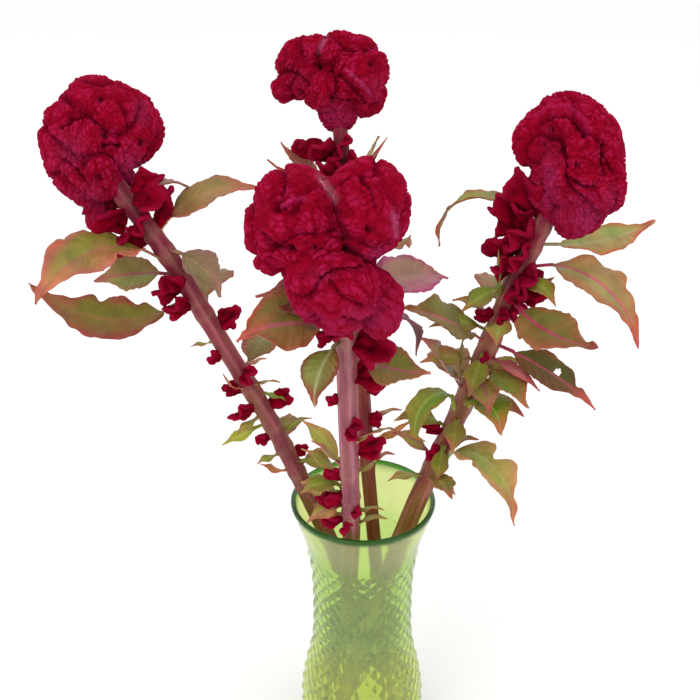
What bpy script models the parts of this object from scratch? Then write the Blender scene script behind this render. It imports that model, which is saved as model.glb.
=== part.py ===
# Four cut cockscomb stems standing in a pressed-glass vase of water.
# The vase's axis is Z, its foot is at the origin, and -Y is the bouquet's front.
# Shapes are given in millimetres and turned into metres by MM.
import math
import random

import bmesh
import bpy
from mathutils import Matrix, Vector, noise
from mathutils.bvhtree import BVHTree

MM = 0.001
FIT_GAP = 0.35          # clearance between pieces that rest on each other
SEED = 7

# Vase
VASE_HEIGHT = 210.0
WALL = 3.8
FLOOR_THICKNESS = 9.0
DIAMONDS_AROUND = 16    # pressed diamonds round the body
DIAMOND_RELIEF = 1.3
PATTERN_TOP = 173.0
PATTERN_BOTTOM = 8.0
PATTERN_ROW = 8.25      # half the height of one diamond
VASE_OUTLINE = [        # height, outer radius: foot, bulge, waist and flared lip
    (0, 36.0), (10, 40.0), (28, 42.8), (45, 43.0), (64, 40.4), (81, 36.6), (97, 34.4),
    (121, 33.8), (145, 34.2), (160, 35.6), (181, 39.8), (196, 44.4), (207, 47.9), (210, 48.3),
]
WATER_LEVEL = 112.0

# Stems: the points each one passes through, from its foot in the vase up into its head,
# with the stem's radius at the foot and at the top
STEMS = {
    "left": dict(path=[(20, 17, 10.6), (-6, 11, 115), (-36, 1, 210), (-59, -3, 270), (-89, -6, 334),
                       (-117, -9, 392), (-139, -11, 430), (-149, -9, 448)], foot=6.2, top=5.6),
    "front": dict(path=[(-13, 20, 10.5), (-11, -6, 115), (-8, -33, 210), (-9, -53, 262), (-10, -72, 320),
                        (-11, -86, 372), (-12, -92, 396), (-13, -95, 412)], foot=6.0, top=6.0),
    "back": dict(path=[(18, -12, 9.9), (12, 4, 115), (4, 21, 210), (0, 38, 268), (-5, 59, 330),
                       (-10, 79, 385), (-14, 90, 420), (-16, 94, 440)], foot=4.8, top=5.2),
    "right": dict(path=[(-20, -15, 10.6), (6, -11, 115), (35, -6, 210), (56, -3, 265), (71, -2, 308),
                        (88, -1, 362), (99, 0, 392), (107, 2, 412)], foot=7.0, top=6.2),
}
STEM_RIBS = 5
RIB_DEPTH = 0.10        # share of the stem's radius
STEM_RINGS = 18

# Crested heads: centre, and the lobes the folded crest is gathered into, each with its offset
# to the right, up and to the front, and its half width, half height and half depth
CRESTS = {
    "left": dict(centre=(-148, 4, 448), tilt=17, lobes=[
        (-4, 24, 0, 19, 16, 19), (16, 13, 2, 17, 18, 18), (-18, 10, 3, 16, 18, 18), (-15, -7, 3, 16, 17, 17),
        (-2, -18, 0, 16, 17, 15), (-4, -35, 0, 9, 11, 9), (1, 3, 7, 22, 23, 20)]),
    "front": dict(centre=(-19, -97, 432), tilt=22, lobes=[
        (-17, 15, 4, 21, 23, 21), (-28, 2, 0, 11, 16, 14), (19, 18, 4, 20, 24, 22), (5, -22, 4, 20, 21, 20),
        (25, -29, 0, 11, 17, 12), (-6, -15, 2, 14, 18, 15), (0, 2, -8, 25, 26, 18)]),
    "back": dict(centre=(-20, 101, 464), tilt=14, lobes=[
        (-20, 6, 2, 15, 17, 16), (-29, -6, 2, 7, 8, 9), (0, 15, 0, 20, 14, 18), (19, 4, 2, 16, 19, 17),
        (21, -12, 0, 10, 11, 11), (-2, -3, 3, 19, 17, 16), (4, -20, 0, 11, 13, 7)]),
    "right": dict(centre=(119, 3, 440), tilt=18, lobes=[
        (-6, 24, 0, 18, 15, 17), (-23, 13, 0, 11, 14, 12), (9, 10, 2, 16, 20, 18), (15, -14, 2, 13, 20, 16),
        (2, -29, 0, 13, 14, 12), (-1, 0, 4, 18, 24, 16), (-15, -13, -2, 9, 18, 7)]),
}
CREST_DETAIL = 4        # times the ball behind each head is subdivided
LOBE_BLEND = 2.0        # how softly neighbouring lobes run into each other
FOLD_PITCH = 19.0       # distance between neighbouring folds
FOLD_DEPTH = 5.5
FOLD_WAVES = 14
SOCKET_CLEARANCE = 0.5

# Leaves: height on the stem, heading, rise at the base, droop to the tip, length, width, sway, roll.
# Heading 0 points right, 90 to the back. Angles are in degrees.
LEAVES = {
    "left": [
        (388, 222, 36, 96, 90, 28, 0, 8), (376, 191, 10, 24, 44, 17, 0, 0),
        (359, 188, -24, -88, 100, 25, 2, -30), (404, 105, 8, 0, 68, 7, 75, 0),
        (424, 30, 30, 120, 48, 9, 6, 0), (404, 8, 50, 72, 66, 16, 0, 10),
        (392, -20, -16, 60, 40, 22, 0, 0), (350, 92, 20, 65, 70, 26, 0, 0),
        (306, 70, 30, 70, 50, 20, 10, 0),
    ],
    "front": [
        (380, 196, 26, 60, 54, 23, 0, 20), (386, 166, 36, 60, 45, 14, 0, 0),
        (374, 238, -10, 95, 40, 15, 0, 0), (361, -12, -16, -22, 40, 20, 0, 15),
        (384, 26, 14, 130, 58, 14, 0, 0), (400, 38, 6, 40, 78, 20, 16, 10),
    ],
    "back": [
        (404, -16, 46, -36, 34, 13, 0, 0), (394, 165, 26, -30, 50, 13, 0, 0),
        (386, 150, 25, 60, 66, 24, 0, 0), (366, 92, 22, 65, 70, 26, 0, 0),
        (346, 52, 25, 70, 64, 24, 0, 0), (398, 190, 6, -48, 52, 8, 5, 0),
    ],
    "right": [
        (402, 158, 42, 160, 84, 15, -6, 0), (390, 22, -8, -16, 92, 14, 20, 0),
        (379, -35, 16, 102, 88, 22, -4, 10), (358, -72, -4, -26, 86, 21, 16, 15),
        (330, 204, 40, 22, 63, 22, 0, 25), (326, -26, -13, 28, 70, 17, 0, 15),
        (314, -62, -4, 20, 42, 17, 8, 0), (296, 189, 62, 18, 47, 17, 0, 10),
        (284, -60, 60, 150, 48, 19, -6, 0), (281, 220, 72, 250, 70, 14, 0, 0),
        (241, -48, 58, 166, 92, 19, -8, 0), (237, -84, 24, 20, 50, 12, 6, 0),
        (344, 84, 20, 65, 68, 25, 0, 0), (292, 108, 25, 60, 54, 22, 0, 0),
    ],
}
BLADE_THICKNESS = 0.9
PETIOLE_SHARE = 0.14    # share of the leaf's length
PETIOLE_WIDTH = 3.2
BLADE_STEPS = 5
BLADE_CUP = 0.22        # how far the blade's sides rise above its midrib
BLADE_WAVE = 2.4

# Small leaves fused to a stem, in the same terms as the large ones
SMALL_LEAVES = {
    "left": [
        (269, 196, -17, 10, 29, 8, 0, 0), (232, 189, 15, -25, 20, 5, 0, 0),
        (292, 0, -6, 40, 16, 5, 0, 0), (298, 228, 32, -50, 24, 4, 0, 0),
        (252, 84, 35, 60, 26, 10, 0, 0),
    ],
    "front": [
        (270, 138, 42, 50, 40, 9, -12, 0), (244, 182, 45, 60, 28, 10, 0, 0),
        (228, 150, 25, 50, 27, 11, 0, 0),
    ],
    "back": [
        (236, 7, 20, -28, 32, 7, 0, 0), (222, -8, 60, 90, 18, 5, 0, 0),
        (300, 120, 30, 50, 36, 14, 0, 0), (402, 28, 33, -28, 36, 5, 0, 0),
    ],
    "right": [
        (302, 172, 72, -44, 30, 10, 0, 0), (344, 152, 32, 60, 27, 7, 0, 0),
        (366, 14, -20, -80, 22, 8, 0, 0), (356, 196, 84, -10, 34, 9, 0, 0),
        (250, -21, 60, 70, 24, 8, 0, 0), (318, -44, 0, 38, 38, 8, 0, 0),
    ],
}
# Side crests on a stem: height, heading, rise, length, width
FRILLS = {
    "left": [(424, -20, 30, 22, 24), (400, 200, -8, 15, 15), (404, 5, 70, 24, 9), (368, 225, 20, 17, 22),
             (340, 0, 45, 17, 12), (309, -60, 10, 12, 12), (296, 195, 10, 14, 10), (284, 215, -10, 15, 12),
             (282, 10, 30, 16, 10)],
    "front": [(372, -30, 10, 24, 22), (346, -10, 25, 20, 18), (312, -70, 10, 11, 12), (286, 0, 25, 17, 12),
              (240, 200, 20, 17, 12), (222, 195, 0, 15, 9)],
    "back": [(414, 175, 20, 26, 14), (408, -70, 35, 18, 20), (404, 215, 40, 18, 14), (284, 0, 45, 17, 12)],
    "right": [(398, 178, 40, 27, 24), (388, 182, 10, 21, 20), (381, 200, -15, 16, 16), (374, -80, 5, 18, 20),
              (360, -5, 10, 18, 16), (338, -75, 60, 16, 13), (262, 170, 30, 14, 12)],
}
FRILL_THICKNESS = 1.8
FRILL_SPREAD = 62.0     # half the fan's angle
SUNK = 2.6              # how far a fused piece's root lies inside the stem

COLOURS = {             # base colour, roughness
    "glass": ((0.45, 0.62, 0.16), 0.05), "water": ((0.80, 0.86, 0.62), 0.05),
    "stem": ((0.42, 0.13, 0.14), 0.55), "crest": ((0.48, 0.01, 0.07), 0.85), "leaf": ((0.27, 0.28, 0.06), 0.5),
}


# Helpers
def clear_scene():
    for obj in list(bpy.data.objects):
        bpy.data.objects.remove(obj)


def new_collection(name, hidden=False):
    collection = bpy.data.collections.new(name)
    bpy.context.scene.collection.children.link(collection)
    collection.hide_render = hidden
    return collection


def new_material(name):
    colour, roughness = COLOURS[name]
    material = bpy.data.materials.new(name)
    material.use_nodes = True
    shader = material.node_tree.nodes["Principled BSDF"]
    shader.inputs["Base Color"].default_value = (*colour, 1)
    shader.inputs["Roughness"].default_value = roughness
    return material


def add_object(name, data, collection, material=None):
    obj = bpy.data.objects.new(name, data)
    collection.objects.link(obj)
    if material:
        obj.data.materials.append(material)
    return obj


def evaluated_copy(obj, name, collection, material=None):
    """A mesh object holding obj as its modifiers leave it, with coincident points merged. obj is removed."""
    bpy.context.view_layer.update()
    graph = bpy.context.evaluated_depsgraph_get()
    mesh = bpy.data.meshes.new_from_object(obj.evaluated_get(graph), depsgraph=graph)
    mesh.transform(obj.matrix_world)
    bpy.data.objects.remove(obj)
    mesh.materials.clear()
    weld(mesh)
    return add_object(name, mesh, collection, material)


def weld(mesh, within=0.01 * MM):
    bm = bmesh.new()
    bm.from_mesh(mesh)
    bmesh.ops.remove_doubles(bm, verts=bm.verts, dist=within)
    bmesh.ops.recalc_face_normals(bm, faces=bm.faces)
    bm.to_mesh(mesh)
    bm.free()


def interpolate(points, x):
    """Smooth curve through (x, y) points, read at x."""
    x = min(max(x, points[0][0]), points[-1][0])
    last = len(points) - 1
    i = next(k for k in range(last) if x <= points[k + 1][0])
    t = (x - points[i][0]) / (points[i + 1][0] - points[i][0])

    def slope(k):
        a, b = points[max(k - 1, 0)], points[min(k + 1, last)]
        return (b[1] - a[1]) / (b[0] - a[0])

    step = points[i + 1][0] - points[i][0]
    low, high = points[i][1], points[i + 1][1]
    return ((2 * t**3 - 3 * t**2 + 1) * low + (t**3 - 2 * t**2 + t) * step * slope(i)
            + (3 * t**2 - 2 * t**3) * high + (t**3 - t**2) * step * slope(i + 1))


def vase_radius(z):
    return interpolate(VASE_OUTLINE, z)


def stem_point(which, z):
    path = STEMS[which]["path"]
    if z < path[0][2] or z > path[-1][2]:
        end, inward = (path[0][2], 1) if z < path[0][2] else (path[-1][2], -1)
        at = stem_point(which, end)
        return at + (at - stem_point(which, end + inward)) * abs(z - end)
    x = interpolate([(p[2], p[0]) for p in path], z)
    y = interpolate([(p[2], p[1]) for p in path], z)
    return Vector((x, y, z))


def stem_radius(which, z):
    stem = STEMS[which]
    low, high = stem["path"][0][2], stem["path"][-1][2]
    share = min(max((z - low) / (high - low), 0), 1)
    return stem["foot"] + (stem["top"] - stem["foot"]) * share


# Vase and water
def turned(name, outline, steps, collection, material):
    """A solid of revolution. The outline runs from the axis round to the axis again."""
    mesh = bpy.data.meshes.new(name)
    points = [(r * MM, 0, z * MM) for z, r in outline]
    mesh.from_pydata(points, [(i, i + 1) for i in range(len(points) - 1)], [])
    obj = add_object(name + "_outline", mesh, collection)
    screw = obj.modifiers.new("turn", "SCREW")
    screw.axis = "Z"
    screw.steps = screw.render_steps = steps
    screw.use_merge_vertices = True
    screw.merge_threshold = 0.00005
    screw.use_normal_calculate = True
    return evaluated_copy(obj, name, collection, material)


def pattern_heights():
    rows = int((PATTERN_TOP - PATTERN_BOTTOM) / PATTERN_ROW)
    return [PATTERN_TOP - PATTERN_ROW * i for i in range(rows + 1)]


def press_diamonds(mesh):
    """Raises every second point of the outer wall and splits each face along its groove."""
    columns = 2 * DIAMONDS_AROUND
    heights = pattern_heights()
    bm = bmesh.new()
    bm.from_mesh(mesh)
    low = set()
    for vert in bm.verts:
        z, r = vert.co.z / MM, vert.co.xy.length / MM
        row = round((PATTERN_TOP - z) / PATTERN_ROW)
        if r < vase_radius(z) - 1 or not 0 <= row < len(heights) or abs(heights[row] - z) > 0.5:
            continue
        column = round(math.atan2(vert.co.y, vert.co.x) / (2 * math.pi) * columns)
        if (row + column) % 2 or row in (0, len(heights) - 1):
            low.add(vert)
        else:
            vert.co.xy *= (r + DIAMOND_RELIEF) / r
    for face in [f for f in bm.faces if len(f.verts) == 4]:
        grooves = [v for v in face.verts if v in low]
        if len(grooves) == 2 and grooves[0].co.z != grooves[1].co.z and not bm.edges.get(grooves):
            bmesh.utils.face_split(face, *grooves)
    bm.to_mesh(mesh)
    bm.free()


def make_vase(collection, material):
    lip_edge = VASE_HEIGHT - 2.2
    outer = [(z, vase_radius(z)) for z in (lip_edge, 203.0, 190.0, 180.0)]
    outer += [(z, vase_radius(z)) for z in pattern_heights()]
    outer += [(2.0, vase_radius(2.0)), (0.0, vase_radius(0.0) - 2.0)]
    inner_heights = [FLOOR_THICKNESS + 4, 28, 45, 64, 84, 121, 160, 181, 196]
    inner = [(FLOOR_THICKNESS, vase_radius(FLOOR_THICKNESS) - WALL - 5)]
    inner += [(z, vase_radius(z) - WALL) for z in inner_heights]
    inner += [(lip_edge, vase_radius(VASE_HEIGHT) - WALL + 0.4)]
    lip = [(VASE_HEIGHT, vase_radius(VASE_HEIGHT) - 1.7)]
    outline = [(FLOOR_THICKNESS, 0)] + inner + lip + outer + [(0, 0)]
    vase = turned("vase", outline, 2 * DIAMONDS_AROUND, collection, material)
    press_diamonds(vase.data)
    vase.data.shade_smooth()
    vase.data.set_sharp_from_angle(angle=math.radians(12))


def make_water(collection, cutters, material):
    """The water fills the vase to its level, with a plain hole where each stem stands."""
    clear = WALL + FIT_GAP + 0.35
    heights = [FLOOR_THICKNESS + 4, 28, 45, 64, 81, 97, WATER_LEVEL]
    outline = [(WATER_LEVEL, 0)] + [(z, vase_radius(z) - clear) for z in reversed(heights)]
    bottom = FLOOR_THICKNESS + FIT_GAP
    outline += [(bottom, vase_radius(bottom) - clear - 6), (bottom, 0)]
    water = turned("water", outline, 20, collection, material)
    for which in STEMS:
        cutter = stem_tube("hole_" + which, which, 0, WATER_LEVEL + 20, SOCKET_CLEARANCE + 0.7, 5, cutters)
        cut = water.modifiers.new(which, "BOOLEAN")
        cut.operation = "DIFFERENCE"
        cut.object = cutter


# Stems
def rib_outline(name, sides, depth, collection):
    """The closed outline that the stem's curve is swept with: ribs with grooves between them."""
    curve = bpy.data.curves.new(name, "CURVE")
    curve.dimensions = "2D"
    curve.fill_mode = "NONE"
    spline = curve.splines.new("POLY")
    spline.points.add(sides - 1)
    for i, point in enumerate(spline.points):
        radius = 1 - (depth if i % 2 else 0)
        turn = 2 * math.pi * i / sides
        point.co = (radius * math.cos(turn) * MM, radius * math.sin(turn) * MM, 0, 1)
    spline.use_cyclic_u = True
    guide = add_object(name, curve, collection)
    guide.hide_render = True
    guide.display_type = "WIRE"
    return guide


def stem_tube(name, which, low, high, extra, rings, collection, ribbed=False):
    """The stem between two heights as a mesh, made extra thicker than the real one."""
    curve = bpy.data.curves.new(name, "CURVE")
    curve.dimensions = "3D"
    curve.bevel_mode = "OBJECT"
    depth = RIB_DEPTH if ribbed else 0
    curve.bevel_object = rib_outline(name + "_section", 2 * STEM_RIBS, depth, collection)
    curve.use_fill_caps = True
    spline = curve.splines.new("POLY")
    spline.points.add(rings - 1)
    for i, point in enumerate(spline.points):
        z = low + (high - low) * i / (rings - 1)
        point.co = (*(stem_point(which, z) * MM), 1)
        point.radius = stem_radius(which, z) + extra
    guide = curve.bevel_object
    obj = evaluated_copy(add_object(name + "_curve", curve, collection), name, collection)
    bpy.data.objects.remove(guide)
    return obj


def make_stem(which, collection, joined, material):
    """The ribbed stem, with its small leaves and side crests fused into it."""
    path = STEMS[which]["path"]
    stem = stem_tube("stem_" + which, which, path[0][2], path[-1][2], 0, STEM_RINGS, collection, ribbed=True)
    stem.data.materials.append(material)
    group = bpy.data.collections.new("growth_" + which)
    joined.children.link(group)
    for i, leaf in enumerate(SMALL_LEAVES[which]):
        leaf_blade(f"leaflet_{which}_{i}", which, leaf, -SUNK, 3, group)
    for i, frill in enumerate(FRILLS[which]):
        side_crest(f"frill_{which}_{i}", which, frill, group)
    bpy.context.view_layer.objects.active = stem
    join = stem.modifiers.new("grown on", "BOOLEAN")
    join.operation = "UNION"
    join.operand_type = "COLLECTION"
    join.collection = group
    join.solver = "MANIFOLD"
    bpy.ops.object.modifier_apply(modifier=join.name)
    for obj in list(group.objects):
        bpy.data.objects.remove(obj)
    return stem


# Leaves and side crests
def direction(heading, rise):
    h, p = math.radians(heading), math.radians(rise)
    return Vector((math.cos(h) * math.cos(p), math.sin(h) * math.cos(p), math.sin(p)))


def blade_half_width(t, width):
    """Half the blade's width at t along the leaf: a narrow petiole, an oval blade and a long drawn tip."""
    if t < PETIOLE_SHARE:
        return PETIOLE_WIDTH / 2
    s = (t - PETIOLE_SHARE) / (1 - PETIOLE_SHARE)
    oval = math.sin(math.pi * s**0.8) ** 0.9 if s < 1 else 0
    return max(width / 2 * oval, PETIOLE_WIDTH / 2 * (1 - 0.6 * s))


def leaf_blade(name, which, leaf, clearance, steps, collection, material=None):
    """A thin arched blade. Its petiole starts clearance outside the stem, or inside where that is negative."""
    height, heading, rise, droop, length, width, sway, roll = leaf
    at = stem_point(which, height) + direction(heading, 0) * (stem_radius(which, height) + clearance)
    across = (-1, -0.5, 0, 0.5, 1) if steps == BLADE_STEPS else (-1, 0, 1)
    verts, faces = [], []
    for i in range(steps + 1):
        t = i / steps
        along = direction(heading + sway * t, rise - droop * t)
        side = Vector((0, 0, 1)).cross(direction(heading + sway * t, 0)).normalized()
        side = Matrix.Rotation(math.radians(roll * min(1, 3 * t)), 3, along) @ side
        up = along.cross(side)
        half = blade_half_width(t, width)
        for s in across:
            lift = BLADE_CUP * abs(s) * half
            if t > PETIOLE_SHARE:
                lift += BLADE_WAVE * s * math.sin(2.4 * math.pi * t + s) * half / width
            verts.append((at + side * (s * half) + up * lift) * MM)
        at = at + along * (length / steps)
    columns = len(across)
    for i in range(steps):
        for j in range(columns - 1):
            a, b = i * columns + j, i * columns + j + 1
            faces += [(a, b, b + columns), (a, b + columns, a + columns)]
    return thick_sheet(name, verts, faces, BLADE_THICKNESS, collection, material)


def seat(leaf, stem_tree, heading):
    """Slides a leaf towards its stem until its nearest point is the fit gap away."""
    inward = direction(heading, 0) * -MM
    for _ in range(5):
        gap = min(stem_tree.find_nearest(vert.co)[3] for vert in leaf.data.vertices) / MM
        leaf.data.transform(Matrix.Translation(inward * (gap - FIT_GAP)))


def side_crest(name, which, frill, collection):
    """A small fan that widens from the stem and waves along its free edge."""
    height, heading, rise, length, width = frill
    root = stem_point(which, height) + direction(heading, 0) * (stem_radius(which, height) - SUNK)
    along = direction(heading, rise)
    side = Vector((0, 0, 1)).cross(direction(heading, 0)).normalized()
    side = Matrix.Rotation(math.radians(60), 3, along) @ side
    up = along.cross(side)
    spokes, rings = 5, 1
    verts, faces = [], []
    for i in range(rings + 1):
        reach = i / rings
        for j in range(spokes + 1):
            share = 2 * j / spokes - 1
            turn = math.radians(FRILL_SPREAD) * share
            out = 3.0 + (length - 3.0) * reach
            wave = 0.16 * length * reach * math.sin(2.6 * math.pi * share)
            narrow = 1.4 + (width / 2 - 1.4) * reach
            out *= 0.55 + 0.45 * math.cos(turn)
            verts.append((root + along * out + side * narrow * share + up * wave) * MM)
    columns = spokes + 1
    for i in range(rings):
        for j in range(spokes):
            a, b = i * columns + j, i * columns + j + 1
            faces += [(a, b, b + columns), (a, b + columns, a + columns)]
    return thick_sheet(name, verts, faces, FRILL_THICKNESS, collection)


def thick_sheet(name, verts, faces, thickness, collection, material=None):
    mesh = bpy.data.meshes.new(name)
    mesh.from_pydata(verts, [], faces)
    obj = add_object(name + "_sheet", mesh, collection)
    solidify = obj.modifiers.new("thickness", "SOLIDIFY")
    solidify.thickness = thickness * MM
    solidify.offset = 0
    return evaluated_copy(obj, name, collection, material)


# Crested heads
def fold_field(seed):
    """Waves of one length in random directions. Their sum is near zero along winding lines."""
    draw = random.Random(seed)
    waves = []
    for _ in range(FOLD_WAVES):
        turn, rise = draw.uniform(0, 2 * math.pi), math.asin(draw.uniform(-1, 1))
        k = direction(math.degrees(turn), math.degrees(rise)) * (math.pi / FOLD_PITCH)
        waves.append((k, draw.uniform(0, 2 * math.pi)))
    scale = math.sqrt(2 / FOLD_WAVES)
    return lambda p: scale * sum(math.sin(k.dot(p) + phase) for k, phase in waves)


def lobe_reach(lobe, ray):
    """How far along the ray from the head's centre the lobe's surface lies, or 0 where the ray misses it."""
    right, up, front, half_width, half_height, half_depth = lobe
    size = Vector((half_width, half_depth, half_height))
    at = Vector((right / size.x, -front / size.y, up / size.z))
    way = Vector((ray.x / size.x, ray.y / size.y, ray.z / size.z))
    under_root = at.dot(way)**2 - way.dot(way) * (at.dot(at) - 1)
    return (at.dot(way) + math.sqrt(under_root)) / way.dot(way) if under_root > 0 else 0


def make_crest(which, collection, cutters, material):
    """A ball pushed out to the head's lobes and folded, with a socket where the stem runs into it."""
    crest = CRESTS[which]
    field = fold_field(sum(map(ord, which)))
    turn = Matrix.Rotation(math.radians(-crest["tilt"]), 3, "X")
    centre = Vector(crest["centre"])
    mesh = bpy.data.meshes.new("crest_" + which)
    bm = bmesh.new()
    bmesh.ops.create_icosphere(bm, subdivisions=CREST_DETAIL, radius=1)
    for vert in bm.verts:
        reaches = [lobe_reach(lobe, vert.co) for lobe in crest["lobes"]]
        reach = LOBE_BLEND * math.log(sum(math.exp(r / LOBE_BLEND) for r in reaches))
        at = centre + turn @ vert.co * reach
        warp = noise.noise_vector(at / 22) * 5
        fold = min(1, abs(field(at + warp)) * 1.6) ** 0.6
        vert.co = (at + turn @ vert.co * (fold - 0.62) * FOLD_DEPTH) * MM
    bm.to_mesh(mesh)
    bm.free()
    obj = add_object("crest_" + which, mesh, collection, material)
    top = STEMS[which]["path"][-1][2]
    cutter = stem_tube("socket_" + which, which, top - 70, top + 2, SOCKET_CLEARANCE + 0.7, 9, cutters)
    cut = obj.modifiers.new("socket", "BOOLEAN")
    cut.operation = "DIFFERENCE"
    cut.object = cutter


def main():
    clear_scene()
    noise.seed_set(SEED)
    parts = new_collection("cockscomb_celosia")
    cutters = new_collection("cutters", hidden=True)
    joined = new_collection("joined", hidden=True)
    materials = {name: new_material(name) for name in COLOURS}
    make_vase(parts, materials["glass"])
    make_water(parts, cutters, materials["water"])
    for which in STEMS:
        stem = make_stem(which, parts, joined, materials["stem"])
        make_crest(which, parts, cutters, materials["crest"])
        points = [vert.co for vert in stem.data.vertices]
        tree = BVHTree.FromPolygons(points, [face.vertices for face in stem.data.polygons])
        for i, leaf in enumerate(LEAVES[which], 1):
            blade = leaf_blade(f"leaf_{which}_{i}", which, leaf, 1, BLADE_STEPS, parts, materials["leaf"])
            seat(blade, tree, leaf[1])
    for obj in cutters.objects:
        obj.hide_render = True
        obj.display_type = "WIRE"


main()
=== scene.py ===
import math
import random

import bmesh
import bpy
import numpy as np
from mathutils import Matrix, Vector, noise


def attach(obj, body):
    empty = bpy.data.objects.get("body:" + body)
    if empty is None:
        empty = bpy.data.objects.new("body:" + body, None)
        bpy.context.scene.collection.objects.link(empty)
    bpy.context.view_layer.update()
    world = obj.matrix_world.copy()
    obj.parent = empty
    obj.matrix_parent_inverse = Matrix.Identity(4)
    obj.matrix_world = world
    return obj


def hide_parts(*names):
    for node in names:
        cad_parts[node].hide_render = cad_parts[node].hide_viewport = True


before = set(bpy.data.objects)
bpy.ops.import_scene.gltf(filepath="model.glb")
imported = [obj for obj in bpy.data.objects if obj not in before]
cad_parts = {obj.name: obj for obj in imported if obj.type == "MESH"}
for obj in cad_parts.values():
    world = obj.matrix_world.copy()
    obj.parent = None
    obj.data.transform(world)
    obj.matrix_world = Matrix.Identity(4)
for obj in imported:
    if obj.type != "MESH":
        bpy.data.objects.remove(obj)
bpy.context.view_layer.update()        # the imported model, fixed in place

mm = 0.001
noise.seed_set(7)

# Four cut cockscomb stems in a pressed-glass vase of water. Shapes are in millimetres,
# with the foot of the vase at the origin and the bouquet's front towards -Y.


# Small helpers
def deselectAll():
    if bpy.context.object and bpy.context.object.mode != "OBJECT":
        bpy.ops.object.mode_set(mode="OBJECT")
    bpy.ops.object.select_all(action="DESELECT")


def pick(obj):
    deselectAll()
    obj.select_set(True)
    bpy.context.view_layer.objects.active = obj


def applyAll(obj):
    pick(obj)
    for modifier in list(obj.modifiers):
        bpy.ops.object.modifier_apply(modifier=modifier.name)


def closeUp(obj):
    # seams and poles merged, faces turned outwards
    pick(obj)
    bpy.ops.object.mode_set(mode="EDIT")
    bpy.ops.mesh.select_all(action="SELECT")
    bpy.ops.mesh.remove_doubles(threshold=0.02 * mm)
    bpy.ops.mesh.normals_make_consistent(inside=False)
    bpy.ops.object.mode_set(mode="OBJECT")


def joinPieces(name, objs):
    pick(objs[0])
    for obj in objs:
        obj.select_set(True)
    bpy.ops.object.join()
    objs[0].name = name
    return objs[0]


def finishPiece(obj, slotName, finish, *nodes):
    pick(obj)
    bpy.ops.object.transform_apply(location=True, rotation=True, scale=True)
    obj.data.materials.clear()
    obj.data.materials.append(finish)
    if nodes:
        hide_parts(*nodes)
    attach(obj, "root")
    return obj


def interpolate(points, x):
    # smooth curve through (x, y) points, read at x, where y may be a vector
    x = min(max(x, points[0][0]), points[-1][0])
    last = len(points) - 1
    i = next(k for k in range(last) if x <= points[k + 1][0])
    step = points[i + 1][0] - points[i][0]
    t = (x - points[i][0]) / step

    def slope(k):
        a, b = points[max(k - 1, 0)], points[min(k + 1, last)]
        return (b[1] - a[1]) / (b[0] - a[0])

    low, high = points[i][1], points[i + 1][1]
    return ((2 * t**3 - 3 * t**2 + 1) * low + (t**3 - 2 * t**2 + t) * step * slope(i)
            + (3 * t**2 - 2 * t**3) * high + (t**3 - t**2) * step * slope(i + 1))


def direction(heading, rise):
    h, p = math.radians(heading), math.radians(rise)
    return Vector((math.cos(h) * math.cos(p), math.sin(h) * math.cos(p), math.sin(p)))


def linear(code):
    # a colour code as the linear values a shader takes
    parts = [int(code[i:i + 2], 16) / 255 for i in (1, 3, 5)]
    return tuple(c / 12.92 if c < 0.04045 else ((c + 0.055) / 1.055)**2.4 for c in parts)


def mixed(a, b, share):
    share = min(max(share, 0), 1)
    return tuple(p + (q - p) * share for p, q in zip(a, b))


def smoothStep(low, high, x):
    t = min(max((x - low) / (high - low), 0), 1)
    return t * t * (3 - 2 * t)


# The photograph's view, and where a point lands in its picture
viewpoint = dict(place=(-0.0087, -0.607, 0.644), tilt=62, lens=57.09, sensor=36, pixels=1110, middle=350)


def photoPlace(points):
    turn = math.radians(viewpoint["tilt"])
    away = (points * mm) - np.array(viewpoint["place"])
    depth = away @ np.array((0, math.sin(turn), -math.cos(turn)))
    rise = away @ np.array((0, math.cos(turn), math.sin(turn)))
    x = viewpoint["middle"] + viewpoint["pixels"] * away[:, 0] / depth
    y = viewpoint["middle"] - viewpoint["pixels"] * rise / depth
    return np.stack((x, y), axis=1)


# Finishes
def newFinish(name, values):
    finish = bpy.data.materials.new(name)
    finish.use_nodes = True
    shader = finish.node_tree.nodes["Principled BSDF"]
    for socket, value in values.items():
        shader.inputs[socket].default_value = value
    return finish, finish.node_tree, shader


def addNode(tree, kind, inputs=None, **settings):
    node = tree.nodes.new(kind)
    for name, value in settings.items():
        setattr(node, name, value)
    for socket, value in (inputs or {}).items():
        if isinstance(value, bpy.types.NodeSocket):
            tree.links.new(value, node.inputs[socket])
        else:
            node.inputs[socket].default_value = value
    return node


def link(shader, socket, value):
    shader.id_data.links.new(value, shader.inputs[socket])


def rangeOf(value, low, high, outLow, outHigh):
    node = addNode(value.id_data, "ShaderNodeMapRange", {
        "Value": value, "From Min": low, "From Max": high, "To Min": outLow, "To Max": outHigh})
    return node.outputs["Result"]


def mathOf(operation, a, b=0.0):
    return addNode(a.id_data, "ShaderNodeMath", {0: a, 1: b}, operation=operation).outputs[0]


def noiseOf(place, scale, detail=2.0, roughness=0.5):
    node = addNode(place.id_data, "ShaderNodeTexNoise", {
        "Vector": place, "Scale": scale, "Detail": detail, "Roughness": roughness})
    return node.outputs["Fac"]


def cellsOf(place, scale, feature="F1"):
    node = addNode(place.id_data, "ShaderNodeTexVoronoi", {"Vector": place, "Scale": scale}, feature=feature)
    return node.outputs["Distance"]


def placeOn(tree, kind="Object"):
    return addNode(tree, "ShaderNodeTexCoord").outputs[kind]


def tintOf(tree):
    # the colours that paint() left on the mesh
    return addNode(tree, "ShaderNodeAttribute", attribute_name="tint").outputs["Color"]


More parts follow.
